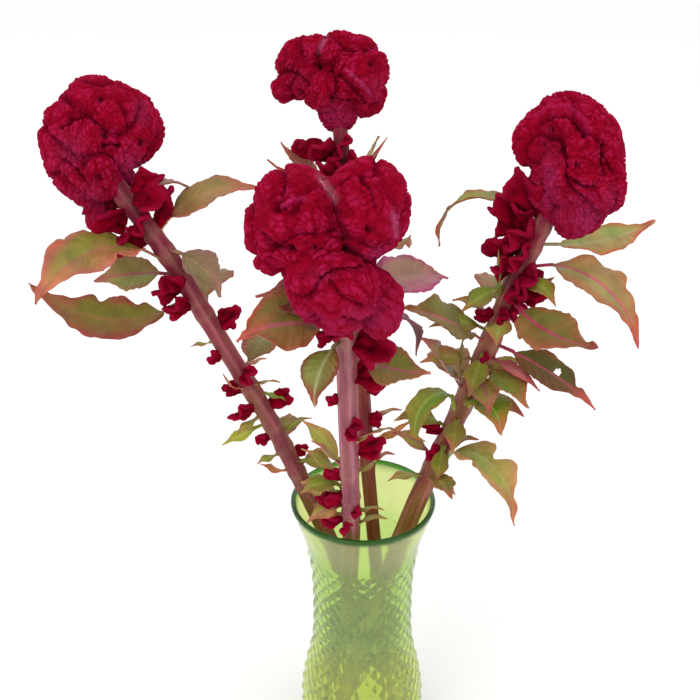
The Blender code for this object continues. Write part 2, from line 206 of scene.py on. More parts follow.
def tinted(shader, light, saturation=1.0):
    node = addNode(shader.id_data, "ShaderNodeHueSaturation", {
        "Color": tintOf(shader.id_data), "Value": light, "Saturation": saturation})
    link(shader, "Base Color", node.outputs["Color"])


def bumped(shader, height, strength, distance):
    node = addNode(shader.id_data, "ShaderNodeBump", {
        "Height": height, "Strength": strength, "Distance": distance})
    link(shader, "Normal", node.outputs["Normal"])


def velvetFinish():
    finish, tree, shader = newFinish("crimsonVelvet", {
        "Roughness": 0.85, "Sheen Weight": 0.28, "Sheen Roughness": 0.35, "Sheen Tint": (1.0, 0.02, 0.26, 1),
        "Specular IOR Level": 0.04})
    place = placeOn(tree)
    florets = cellsOf(place, scale=900)
    patches = noiseOf(place, scale=210, detail=6, roughness=0.7)
    specks = rangeOf(florets, 0.05, 0.75, 1.14, 0.88)
    mottle = rangeOf(patches, 0.3, 0.7, 0.80, 1.20)
    tinted(shader, mathOf("MULTIPLY", specks, mottle))
    pile = mathOf("SUBTRACT", patches, mathOf("MULTIPLY", florets, 0.35))
    bumped(shader, pile, strength=0.9, distance=0.0014)
    return finish


def leafFinish():
    finish, tree, shader = newFinish("leafSkin", {"Specular IOR Level": 0.34})
    place = placeOn(tree)
    across, along, _ = addNode(tree, "ShaderNodeSeparateXYZ", {0: placeOn(tree, "UV")}).outputs
    # the veins slant forward from the midrib and wander a little
    fromRib = mathOf("ABSOLUTE", mathOf("SUBTRACT", across, 0.5))
    slant = mathOf("SUBTRACT", mathOf("MULTIPLY", along, leafShape["veins"]),
                   mathOf("MULTIPLY", fromRib, leafShape["veinSlant"]))
    wander = noiseOf(place, scale=90)
    slant = mathOf("ADD", slant, mathOf("MULTIPLY", wander, 0.5))
    line = mathOf("ABSOLUTE", mathOf("SUBTRACT", mathOf("FRACT", slant), 0.5))
    vein = rangeOf(line, 0.0, 0.07, 1.0, 0.0)
    cells = cellsOf(place, scale=520, feature="DISTANCE_TO_EDGE")
    patches = noiseOf(place, scale=75, detail=5, roughness=0.6)
    mottle = rangeOf(patches, 0.3, 0.7, 0.64, 1.06)
    light = mathOf("ADD", mottle, mathOf("MULTIPLY", vein, 0.16))
    net = rangeOf(cells, 0.0, 0.12, 1.08, 0.98)
    tinted(shader, mathOf("MULTIPLY", light, net), saturation=1.08)
    link(shader, "Roughness", rangeOf(patches, 0.3, 0.7, 0.38, 0.56))
    height = mathOf("SUBTRACT", mathOf("MULTIPLY", patches, 0.7), vein)
    bumped(shader, height, strength=0.45, distance=0.0006)
    return finish


def stemFinish():
    finish, tree, shader = newFinish("stemSkin", {"Specular IOR Level": 0.3})
    place = placeOn(tree)
    # streaks are drawn out along the stem
    drawn = addNode(tree, "ShaderNodeMapping", {"Vector": placeOn(tree, "UV"), "Scale": (26.0, 7.0, 1.0)})
    streaks = noiseOf(drawn.outputs["Vector"], scale=1.6, detail=5, roughness=0.62)
    specks = noiseOf(place, scale=420)
    light = mathOf("MULTIPLY", rangeOf(streaks, 0.3, 0.7, 0.58, 1.10),
                   rangeOf(specks, 0.3, 0.7, 0.9, 1.1))
    tinted(shader, light, saturation=1.15)
    link(shader, "Roughness", rangeOf(streaks, 0.3, 0.7, 0.42, 0.62))
    bumped(shader, streaks, strength=0.5, distance=0.0008)
    return finish


def clearFinish(name, values, ripple, colour, density):
    # see-through, with a faint ripple, and coloured by how deep the light passes
    finish, tree, shader = newFinish(name, values)
    scale, detail, strength = ripple
    place = placeOn(tree)
    bumped(shader, noiseOf(place, scale, detail), strength, distance=0.002)
    depth = addNode(tree, "ShaderNodeVolumeAbsorption", {"Color": colour, "Density": density})
    tree.links.new(depth.outputs["Volume"], tree.nodes["Material Output"].inputs["Volume"])
    return finish, tree, shader


def glassFinish():
    finish, tree, shader = clearFinish(
        "yellowGreenGlass", {"Roughness": 0.09, "IOR": 1.40, "Transmission Weight": 0.85},
        ripple=(70, 2, 0.10), colour=(0.84, 0.92, 0.40, 1), density=170)
    # its colour is the painted tint, with painted shade on the waist and a painted dark reflection on the
    # lip
    link(shader, "Base Color", tintOf(tree))
    return finish


def waterFinish():
    return clearFinish(
        "vaseWaterFinish", {"Base Color": (0.99, 1.0, 0.97, 1), "Roughness": 0.0, "IOR": 1.333,
                            "Transmission Weight": 1.0},
        ripple=(28, 1, 0.05), colour=(0.86, 0.84, 0.45, 1), density=9)[0]


def floorFinish():
    finish, tree, shader = newFinish("paleFloor", {"Roughness": 0.9, "Specular IOR Level": 0.1})
    place = placeOn(tree)
    tone = addNode(tree, "ShaderNodeMix", {
        "Factor": noiseOf(place, scale=3), "A": (0.96, 0.96, 0.96, 1), "B": (0.98, 0.98, 0.98, 1)},
        data_type="RGBA")
    link(shader, "Base Color", tone.outputs[2])
    return finish


# Vase: a foot, a bulge, a waist and a flared lip, with diamonds pressed into its outside.
# The outline and the foot are heights with radii, and the lip is heights with how far inside the
# outline's end. Its glass is yellowest at the foot, with a darker green painted on the waist as painted
# shade and a dark green painted on the lip as a painted dark reflection of the thick rim.
vase = dict(
    height=210.0, wall=3.8, floor=9.0, steps=192, ring=0.95,
    diamonds=24, relief=1.05, patternTop=173.0, patternBottom=8.0, patternRow=5.5, patternFade=5,
    outline=[(0, 36.0), (10, 40.0), (28, 42.8), (45, 43.0), (64, 40.4), (81, 36.6), (97, 34.4),
             (121, 33.8), (145, 34.2), (160, 35.6), (181, 39.8), (196, 44.4), (207, 47.9), (210, 48.3)],
    foot=[(0.0, 0.5), (0.0, 12.0), (0.0, 24.0), (0.0, 33.2), (0.3, 34.4), (1.0, 35.5)],
    lip=[(208.6, 0.15), (209.4, 0.6), (210.0, 1.6), (209.9, 2.4), (209.2, 3.1), (208.0, 3.5)],
    footTint=(0.93, 0.99, 0.40), waistPaintedShade=(0.76, 0.93, 0.44), neckTint=(0.93, 0.98, 0.56),
    lipPaintedReflection=(0.05, 0.24, 0.03),
)
# The water overlaps each stem a little, so that no air shows round it
water = dict(level=112.0, steps=96, ring=3.0, gap=0.08, lift=0.1, overlap=0.25)


def vaseRadius(z):
    return interpolate(vase["outline"], z)


def stepped(low, high, step):
    count = max(1, round(abs(high - low) / step))
    return [low + (high - low) * i / count for i in range(count + 1)]


def turnedShape(name, outline, steps):
    # a ring drawn up, in and down again along the outline of (height, radius)
    deselectAll()
    z, radius = outline[0]
    bpy.ops.mesh.primitive_circle_add(vertices=steps, radius=radius * mm, location=(0, 0, z * mm))
    obj = bpy.context.object
    obj.name = name
    bpy.ops.object.mode_set(mode="EDIT")
    bpy.ops.mesh.select_mode(type="VERT")
    bpy.ops.mesh.select_all(action="SELECT")
    for nextZ, nextRadius in outline[1:]:
        bpy.ops.mesh.extrude_edges_move(TRANSFORM_OT_translate={"value": (0, 0, (nextZ - z) * mm)})
        share = nextRadius / radius
        bpy.ops.transform.resize(value=(share, share, 1), center_override=(0, 0, nextZ * mm))
        z, radius = nextZ, nextRadius
    bpy.ops.mesh.merge(type="CENTER")
    bpy.ops.object.mode_set(mode="OBJECT")
    bpy.ops.object.transform_apply(location=True)
    # the first ring is closed at its centre too
    firstZ, firstRadius = outline[0]
    for vert in obj.data.vertices:
        if abs(vert.co.z - firstZ * mm) < 1e-5 and vert.co.xy.length < (firstRadius + 0.01) * mm:
            vert.co.x = vert.co.y = 0
    closeUp(obj)
    return obj


def pressDiamonds(obj):
    columns = 2 * vase["diamonds"]
    for vert in obj.data.vertices:
        z, r = vert.co.z / mm, vert.co.xy.length / mm
        if r < vaseRadius(z) - 1 or not vase["patternBottom"] <= z <= vase["patternTop"]:
            continue
        row = (vase["patternTop"] - z) / vase["patternRow"]
        column = math.atan2(vert.co.y, vert.co.x) / (2 * math.pi) * columns
        nearest = 9.0
        for a in (math.floor(column), math.floor(column) + 1):
            for b in (math.floor(row), math.floor(row) + 1):
                if (a + b) % 2 == 0:
                    nearest = min(nearest, abs(column - a) + abs(row - b))
        fade = vase["patternFade"]
        edge = smoothStep(0, fade, vase["patternTop"] - z) * smoothStep(0, fade, z - vase["patternBottom"])
        raised = vase["relief"] * (1 - min(nearest, 1)**1.3) * edge
        vert.co.xy *= (r + raised) / r


def buildVase(finish):
    floor, inside = vase["floor"], vase["floor"] + 5
    corner = vaseRadius(inside) - vase["wall"]
    outline = vase["foot"] + [(z, vaseRadius(z)) for z in stepped(2.0, 207.4, vase["ring"])]
    outline += [(z, vaseRadius(vase["height"]) - inward) for z, inward in vase["lip"]]
    outline += [(z, vaseRadius(z) - vase["wall"]) for z in stepped(206.0, inside, 4.0)]
    outline += [(floor + 2, corner - 1.2), (floor + 0.5, corner - 3.5), (floor, corner - 7), (floor, 12.0),
                (floor, 0.5)]
    obj = turnedShape("vaseGlass", outline, vase["steps"])
    pressDiamonds(obj)
    tints = []
    for vert in obj.data.vertices:
        z = vert.co.z / mm
        colour = mixed(vase["footTint"], vase["neckTint"], smoothStep(120, 190, z))
        # the waist is painted a darker green: painted shade
        paintedShadeShare = smoothStep(70, 115, z) * (1 - smoothStep(168, 186, z))
        colour = mixed(colour, vase["waistPaintedShade"], paintedShadeShare)
        # the lip is painted a dark green: a painted dark reflection of the thick rim
        tints.append(mixed(colour, vase["lipPaintedReflection"], smoothStep(204, 208, z)))
    paint(obj, tints)
    obj.data.shade_smooth()
    return finishPiece(obj, "glass", finish, "vase")


def buildWater(finish):
    # the water fills the vase to its level, with a hole where each stem stands
    floor, level = vase["floor"], water["level"]
    gap = vase["wall"] + water["gap"]
    corner = vaseRadius(14) - vase["wall"]
    top = vaseRadius(level) - gap
    outline = [(floor + water["lift"], 0.5), (floor + water["lift"], corner - 7),
               (floor + 0.6, corner - 3.6), (floor + 2.1, corner - 1.3)]
    outline += [(z, vaseRadius(z) - gap) for z in stepped(14.0, level - 0.8, water["ring"])]
    outline += [(level + 0.3, top - 0.05), (level - 0.1, top - 1.2), (level - 0.2, top - 3),
                (level - 0.2, 12.0), (level - 0.2, 0.5)]
    obj = turnedShape("vaseWater", outline, water["steps"])
    for which in stems:
        cutter = stemTube("hole" + which, which, 2, level + 20, -water["overlap"], 30, 24)
        cut = obj.modifiers.new(which, "BOOLEAN")
        cut.operation = "DIFFERENCE"
        cut.object = cutter
        applyAll(obj)
        bpy.data.objects.remove(cutter)
    pick(obj)
    bpy.ops.object.shade_smooth_by_angle(angle=math.radians(35))
    return finishPiece(obj, "water", finish, "water")


# Stems: the points each passes through from its foot up, its radius at the foot and the top,
# and its colours low down, high up and along its ribs, where a paler pink is a painted highlight
stems = {
    "left": dict(path=[(20, 17, 10.6), (-6, 11, 115), (-36, 1, 210), (-59, -3, 270), (-89, -6, 334),
                       (-117, -9, 392), (-139, -11, 430), (-149, -9, 448)], foot=6.2, top=5.6,
                 low="#8c6448", middle="#8e4a50", high="#8e3c4e", rib="#b9797c"),
    "front": dict(path=[(-13, 20, 10.5), (-11, -6, 115), (-8, -33, 210), (-9, -53, 262), (-10, -72, 320),
                        (-11, -86, 372), (-12, -92, 396), (-13, -95, 412)], foot=6.0, top=6.0,
                  low="#8a5c50", middle="#a05a68", high="#a86a70", rib="#cf9aa0"),
    "back": dict(path=[(18, -12, 9.9), (12, 4, 115), (4, 21, 210), (0, 38, 268), (-5, 59, 330),
                       (-10, 79, 385), (-14, 90, 420), (-16, 94, 440)], foot=4.8, top=5.2,
                 low="#7c4a3c", middle="#8c4244", high="#8c3a48", rib="#a9605c"),
    "right": dict(path=[(-20, -15, 10.6), (6, -11, 115), (35, -6, 210), (56, -3, 265), (71, -2, 308),
                        (88, -1, 362), (99, 0, 392), (107, 2, 412)], foot=7.0, top=6.2,
                  low="#96704a", middle="#96504c", high="#9a3f52", rib="#bf8a78"),
}
stemShape = dict(ribs=5, depth=0.10, around=40, ring=2.2, knuckle=0.7, knuckleReach=3.2, rough=0.22)
# The pale foot colour is painted light, lifting the stems inside the vase where little light reaches them.
stemTints = dict(foot="#cfc280", scar="#a8886c", green="#8f8a50", dark="#5a1f2c")


def stemPoint(which, z):
    path = stems[which]["path"]
    if z < path[0][2] or z > path[-1][2]:
        end, inward = (path[0][2], 1) if z < path[0][2] else (path[-1][2], -1)
        at = stemPoint(which, end)
        return at + (at - stemPoint(which, end + inward)) * abs(z - end)
    x = interpolate([(p[2], p[0]) for p in path], z)
    y = interpolate([(p[2], p[1]) for p in path], z)
    return Vector((x, y, z))


def stemRadius(which, z):
    stem = stems[which]
    low, high = stem["path"][0][2], stem["path"][-1][2]
    share = min(max((z - low) / (high - low), 0), 1)
    return stem["foot"] + (stem["top"] - stem["foot"]) * share


def shapedGrid(name, columns, rows, place):
    # a flat grid whose every point goes to place(u, v), with u across and v along
    deselectAll()
    bpy.ops.mesh.primitive_grid_add(x_subdivisions=columns, y_subdivisions=rows, size=2)
    obj = bpy.context.object
    obj.name = name
    shares = [((vert.co.x + 1) / 2, (vert.co.y + 1) / 2) for vert in obj.data.vertices]
    for vert, (u, v) in zip(obj.data.vertices, shares):
        vert.co = place(u, v) * mm
    return obj, shares


def paint(obj, colours):
    layer = obj.data.color_attributes.new("tint", "FLOAT_COLOR", "POINT")
    layer.data.foreach_set("color", np.c_[colours, np.ones(len(colours))].astype(np.float32).ravel())


def thicken(obj, thickness):
    thick = obj.modifiers.new("thickness", "SOLIDIFY")
    thick.thickness = thickness * mm
    thick.offset = 0


def stemTube(name, which, low, high, extra, rings, around):
    # a plain tube along the stem, closed at both ends
    def place(u, v):
        step = min(max((v * (rings + 2) - 1) / rings, 0), 1)
        z = low + (high - low) * step
        radius = 0 if v in (0, 1) else stemRadius(which, z) + extra
        turn = 2 * math.pi * u
        return tubePoint(which, z, turn, radius)

    obj, _ = shapedGrid(name, around, rings + 2, place)
    closeUp(obj)
    return obj


def tubePoint(which, z, turn, radius):
    at = stemPoint(which, z)
    along = (stemPoint(which, z + 1) - stemPoint(which, z - 1)).normalized()
    side = Vector((0, 1, 0)).cross(along).normalized()
    front = along.cross(side)
    return at + (side * math.cos(turn) + front * math.sin(turn)) * radius


def buildStem(which, finish):
    # a ribbed stem with a knuckle at each leaf and a slanting cut at its foot
    stem = stems[which]
    low, high = stem["path"][0][2], stem["path"][-1][2]
    rings = round((high - low) / stemShape["ring"])
    knuckles = [leaf[0] for leaf in leaves[which]] + [leaf[0] for leaf in smallLeaves[which]]
    lowTint, middleTint, highTint, ribPaintedHighlight = [linear(stem[key]) for key in ("low", "middle", "high", "rib")]
    foot, scarred, green, dark = [linear(stemTints[key]) for key in ("foot", "scar", "green", "dark")]

    def ribWave(turn, z):
        slow = noise.noise(Vector((z * 0.02, 0, len(which)))) * 0.8
        return 0.5 + 0.5 * math.cos(stemShape["ribs"] * (turn + slow * 0.25))

    def place(u, v):
        step = min(max((v * (rings + 2) - 1) / rings, 0), 1)
        z = low + (high - low) * step
        turn = 2 * math.pi * (u % 1)
        if v in (0, 1):
            return tubePoint(which, z, turn, 0)
        bulge = sum(math.exp(-((z - k) / stemShape["knuckleReach"])**2) for k in knuckles)
        radius = stemRadius(which, z) * (1 - stemShape["depth"] * (1 - ribWave(turn, z)))
        radius += stemShape["knuckle"] * min(bulge, 1)
        grain = noise.noise(Vector((math.cos(turn) * 2.4, math.sin(turn) * 2.4, z * 0.07)))
        radius += stemShape["rough"] * grain
        return tubePoint(which, z, turn, radius)

    obj, shares = shapedGrid("stem" + which.title(), stemShape["around"], rings + 2, place)
    tints = []
    for u, v in shares:
        z = low + (high - low) * v
        # paler towards the foot, where the stem stands inside the vase: painted light
        colour = mixed(foot, lowTint, smoothStep(105, 172, z))
        colour = mixed(colour, middleTint, smoothStep(150, 260, z))
        colour = mixed(colour, highTint, smoothStep(300, 400, z))
        # a paler pink along the ribs: painted highlight
        colour = mixed(colour, ribPaintedHighlight, 0.55 * ribWave(2 * math.pi * (u % 1), z)**3)
        scar = sum(math.exp(-((z - k + 2) / 2.2)**2) for k in knuckles)
        colour = mixed(colour, scarred, 0.28 * min(scar, 1))
        patch = noise.noise(Vector((math.cos(2 * math.pi * u), math.sin(2 * math.pi * u), z * 0.03)))
        colour = mixed(colour, green, 0.5 * smoothStep(0.05, 0.5, patch) * (1 - v))
        tints.append(mixed(colour, dark, 0.5 * smoothStep(0.1, 0.6, -patch)))
    paint(obj, tints)
    closeUp(obj)
    obj.data.shade_smooth()
    return finishPiece(obj, "stem", finish, "stem_" + which)


# Leaves: height on the stem, heading, rise at the base, droop to the tip, length, width, and where they
# aren't 0, sway and roll. Heading 0 points right, 90 to the back. Each has its blade, margin, midrib
# and tip colours.
leaves = {
    "left": [
        (388, 222, 36, 96, 90, 28, 0, 8), (376, 191, 10, 24, 44, 17),
        (359, 188, -24, -88, 100, 25, 2, -30), (404, 105, 8, 0, 68, 7, 75),
        (424, 30, 30, 120, 48, 9, 6), (404, 8, 50, 72, 66, 16, 0, 10),
        (392, -20, -16, 60, 40, 22), (350, 92, 20, 65, 70, 26),
        (306, 70, 30, 70, 50, 20, 10),
    ],
    "front": [
        (380, 196, 26, 60, 54, 23, 0, 20), (386, 166, 36, 60, 45, 14),
        (374, 238, -10, 95, 40, 15), (361, -12, -16, -22, 40, 20, 0, 15),
        (384, 26, 14, 130, 58, 14), (400, 38, 6, 40, 78, 20, 16, 10),
    ],
    "back": [
        (404, -16, 46, -36, 34, 13), (394, 165, 26, -30, 50, 13),
        (386, 150, 25, 60, 66, 24), (366, 92, 22, 65, 70, 26),
        (346, 52, 25, 70, 64, 24), (398, 190, 6, -48, 52, 8, 5),
    ],
    "right": [
        (402, 158, 42, 160, 84, 15, -6), (390, 22, -8, -16, 92, 14, 20),
        (379, -35, 16, 102, 88, 22, -4, 10), (358, -72, -4, -26, 86, 21, 16, 15),
        (330, 204, 40, 22, 63, 22, 0, 25), (326, -26, -13, 28, 70, 17, 0, 15),
        (314, -62, -4, 20, 42, 17, 8), (296, 189, 62, 18, 47, 17, 0, 10),
        (284, -60, 60, 150, 48, 19, -6), (281, 220, 72, 250, 70, 14),
        (241, -48, 58, 166, 92, 19, -8), (237, -84, 24, 20, 50, 12, 6),
        (344, 84, 20, 65, 68, 25), (292, 108, 25, 60, 54, 22),
    ],
}
unseenLeaf = "#7f7a3c #a86050 #a08058 #b06a58"
leafColours = {
    "left": [
        "#8f8b42 #cc7468 #b07a60 #d27a66", "#a3ad66 #b98a6a #c96a80 #c87a68",
        "#857f3c #a5504a #a07a52 #b26a5a", "#9c6a5c #9c5a58 #a86a60 #935050",
        "#85704a #a86058 #a07058 #cf6a66", "#9a8650 #b87860 #b08a60 #d07868",
        "#8c7a4c #a87a72 #a88a6a #b08070", unseenLeaf, unseenLeaf,
    ],
    "front": [
        "#87753f #b06048 #cf6a80 #cf6a58", "#7a3f34 #8c4038 #8a4a40 #a05048",
        "#8a8f48 #8e4238 #b9b884 #9a4a40", "#84803c #a87050 #cc6480 #b07058",
        "#7f5054 #8a5058 #8a5a5a #804850", "#a37f6c #b04a78 #a87a70 #b85a70",
    ],
    "back": [
        "#a8925c #b08a60 #a88a60 #a07850", "#a85a48 #b86a54 #a85a50 #c06a58",
        unseenLeaf, unseenLeaf, unseenLeaf, "#b8504c #c05a52 #b8504c #c8604c",
    ],
    "right": [
        "#85853c #a8683c #a08048 #d0725a", "#a3ad62 #cf7058 #b5b080 #cf6a58",
        "#9c9158 #b87a58 #d4547c #cf6a58", "#7f7a3a #b06a50 #d85080 #9a5a40",
        "#80793a #8e6a3c #c86a78 #a06a48", "#5e5a2a #8e5038 #c85a74 #cf6a58",
        "#7f8f3e #a87048 #a89a50 #d0705a", "#a0ae66 #cf7a84 #cc6a80 #c87a68",
        "#6f962c #a08a3c #a8b85a #cf7058", "#7a9a34 #a08a3c #a8b85a #c07a50",
        "#9aa24a #d09a70 #b8b070 #d07860", "#86843c #b07a58 #a89a5a #c07058",
        unseenLeaf, unseenLeaf,
    ],
}
# Bites out of a margin: side, place along the leaf, share of the half width, spread.
# Holes: place across from -1 to 1, place along, half width and half length in shares.
leafDamage = {
    "left": {1: dict(bites=[(1, 0.42, 0.35, 0.05)], holes=[(0.35, 0.30, 0.16, 0.022)]),
             3: dict(bites=[(-1, 0.55, 0.30, 0.04), (-1, 0.30, 0.25, 0.05)])},
    "front": {1: dict(bites=[(-1, 0.86, 0.5, 0.03), (1, 0.80, 0.5, 0.03)])},
    "back": {},
    "right": {1: dict(bites=[(1, 0.40, 0.62, 0.05), (-1, 0.66, 0.4, 0.04)]),
              3: dict(bites=[(1, 0.62, 0.28, 0.03)]),
              6: dict(bites=[(1, 0.74, 0.6, 0.04), (-1, 0.84, 0.5, 0.03)], holes=[(0.30, 0.56, 0.20, 0.03)]),
              9: dict(bites=[(-1, 0.5, 0.3, 0.05)]),
              11: dict(bites=[(1, 0.52, 0.72, 0.045), (-1, 0.46, 0.45, 0.04), (1, 0.82, 0.4, 0.04)]),
              12: dict(bites=[(1, 0.72, 0.7, 0.05)])},
}
# How much fuller a blade is than its solid, by the photograph
fuller = {
    "left": {1: 1.3, 2: 1.5, 3: 1.2, 5: 1.3, 6: 1.3, 7: 1.35},
    "front": {1: 1.5, 2: 1.5, 3: 1.25, 4: 1.35, 5: 1.3, 6: 1.35},
    "back": {1: 1.6, 2: 1.7, 6: 1.4},
    "right": {1: 1.2, 2: 1.5, 3: 1.3, 4: 1.35, 5: 1.5, 6: 1.3, 7: 1.25, 8: 1.5, 9: 1.4, 10: 1.25, 11: 1.4,
              12: 1.35},
}
# Blades that twist further towards the view than their solids do, in degrees
twists = {
    "left": {1: -22, 2: -24, 6: 14},
    "front": {1: -48, 2: -20, 6: 18},
    "back": {},
    "right": {2: 26, 4: 10, 5: -48, 6: 8, 8: -20},
}
leafShape = dict(across=18, along=56, steps=5, clearance=0.4, thickness=0.55, petioleShare=0.14,
                 petioleWidth=3.0, cup=0.22, wave=2.4, ragged=0.136, teeth=0.06, ruffle=0.17, quilt=0.35,
                 veins=11, veinSlant=3.4, root=2.6, fuller=1.15)
# Small leaves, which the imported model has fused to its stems, in the same terms
smallShape = dict(across=8, along=24, steps=3, clearance=-0.3, fuller=1.35)
smallLeaves = {
    "left": [
        (269, 196, -17, 10, 29, 8), (232, 189, 15, -25, 20, 5),
        (292, 0, -6, 40, 16, 5), (298, 228, 32, -50, 24, 4),
        (252, 84, 35, 60, 26, 10),
    ],
    "front": [
        (270, 138, 42, 50, 40, 9, -12), (244, 182, 45, 60, 28, 10),
        (228, 150, 25, 50, 27, 11),
    ],
    "back": [
        (236, 7, 20, -28, 32, 7), (222, -8, 60, 90, 18, 5),
        (300, 120, 30, 50, 36, 14), (402, 28, 33, -28, 36, 5),
    ],
    "right": [
        (302, 172, 72, -44, 30, 10), (344, 152, 32, 60, 27, 7),
        (366, 14, -20, -80, 22, 8), (356, 196, 84, -10, 34, 9),
        (250, -21, 60, 70, 24, 8), (318, -44, 0, 38, 38, 8),
    ],
}
# Finer growth that only a close view of the photograph shows, in the same terms
fineLeaves = {
    "left": [(312, 20, 20, 30, 14, 5), (300, -20, 30, 40, 18, 6), (276, 215, -10, 30, 18, 6),
             (262, 20, 40, 60, 20, 7), (246, 200, 0, 40, 16, 6), (236, 15, 40, 50, 22, 9),
             (226, -60, 20, 40, 18, 7), (330, 200, 10, 30, 14, 4), (240, -10, 10, 60, 26, 10, 0, 20)],
    "front": [(262, 170, 50, 40, 30, 9), (255, 200, 30, 80, 28, 11, 0, -20), (248, 160, 60, -20, 26, 6),
              (236, 210, 10, 50, 26, 10, 0, -20), (224, 190, 20, 40, 20, 8), (216, 170, 50, 60, 22, 7),
              (230, -30, 40, 50, 20, 6), (215, -20, 50, 70, 22, 7), (274, 190, 60, 30, 26, 6),
              (296, -20, 50, 40, 18, 4), (268, -10, 40, -40, 24, 5)],
    "back": [(252, 0, 30, 40, 22, 6), (242, -20, 40, 60, 20, 6), (262, 190, 30, 30, 16, 5)],
    "right": [(345, -100, 10, 40, 30, 15, 0, 10), (336, 192, 30, 60, 38, 15, 0, -25),
              (322, -112, -20, 20, 32, 14), (306, -84, 10, 60, 36, 17, 0, 15),
              (300, 20, 40, 80, 32, 13, 0, 20), (276, -100, 0, 40, 30, 13),
              (268, 190, 40, 80, 36, 14, 0, -25), (256, -104, -20, 30, 26, 11),
              (246, 172, 50, 60, 30, 10, 0, -20), (230, -60, 30, 60, 26, 9, 0, 10),
              (232, 200, 20, 50, 24, 8), (365, 200, -10, 40, 30, 13, 0, -20),
              (372, -60, 10, 60, 32, 14, 0, 15), (290, -30, 10, 50, 34, 13, 0, 20),
              (315, 185, 20, 60, 34, 13, 0, -25), (350, 10, -10, 30, 30, 4, 30)],
}
fineColours = ["#a3a448 #b88a5c #b4b468 #c87a60", "#8f9a3c #a8804c #a8ac58 #c0745c",
               "#a89c50 #b87a5c #b8a468 #c8705c", "#7f8c34 #9a7a48 #98a04c #b87858",
               "#b0a858 #c07c64 #c87880 #c86c60"]
smallColours = {
    "left": ["#b9c044 #b0b048 #c8cc70 #b0a040", "#d08a5c #cf7a58 #d09068 #cf7058",
             "#8a9a3c #8a8a3c #9aa050 #a07a48", "#c0805c #c07058 #c08060 #c87058",
             "#8a8a3c #a07050 #a08a50 #b07058"],
    "front": ["#a8ac50 #b8905c #b8b060 #c87a58", "#98a040 #a8905c #b0b060 #b87a58",
              "#a8a048 #b08a50 #b0a860 #c08058"],
    "back": ["#c89048 #c8804c #c89858 #c87850", "#b86a50 #b86048 #b87058 #b86050",
             unseenLeaf, "#b8604c #b8604c #b8604c #c0705c"],
    "right": ["#7f8f3c #a07a48 #a8a058 #b87a58", "#9a7a40 #a8684c #a88050 #c0705c",
              "#8a8a40 #a8704c #a08050 #b87a58", "#80903c #98804c #a8a058 #b07a58",
              "#8f9040 #b8785c #a8a058 #c87a5c", "#c87870 #cc6a70 #c87080 #d07068"],
}


def bladeHalfWidth(t, width):
    petiole = leafShape["petioleWidth"] / 2
    if t < leafShape["petioleShare"]:
        return petiole
    s = (t - leafShape["petioleShare"]) / (1 - leafShape["petioleShare"])
    oval = math.sin(math.pi * min(s, 1)**0.8)
    oval = max(oval, 0)**0.9
    return max(width / 2 * oval, petiole * (1 - 0.92 * s))


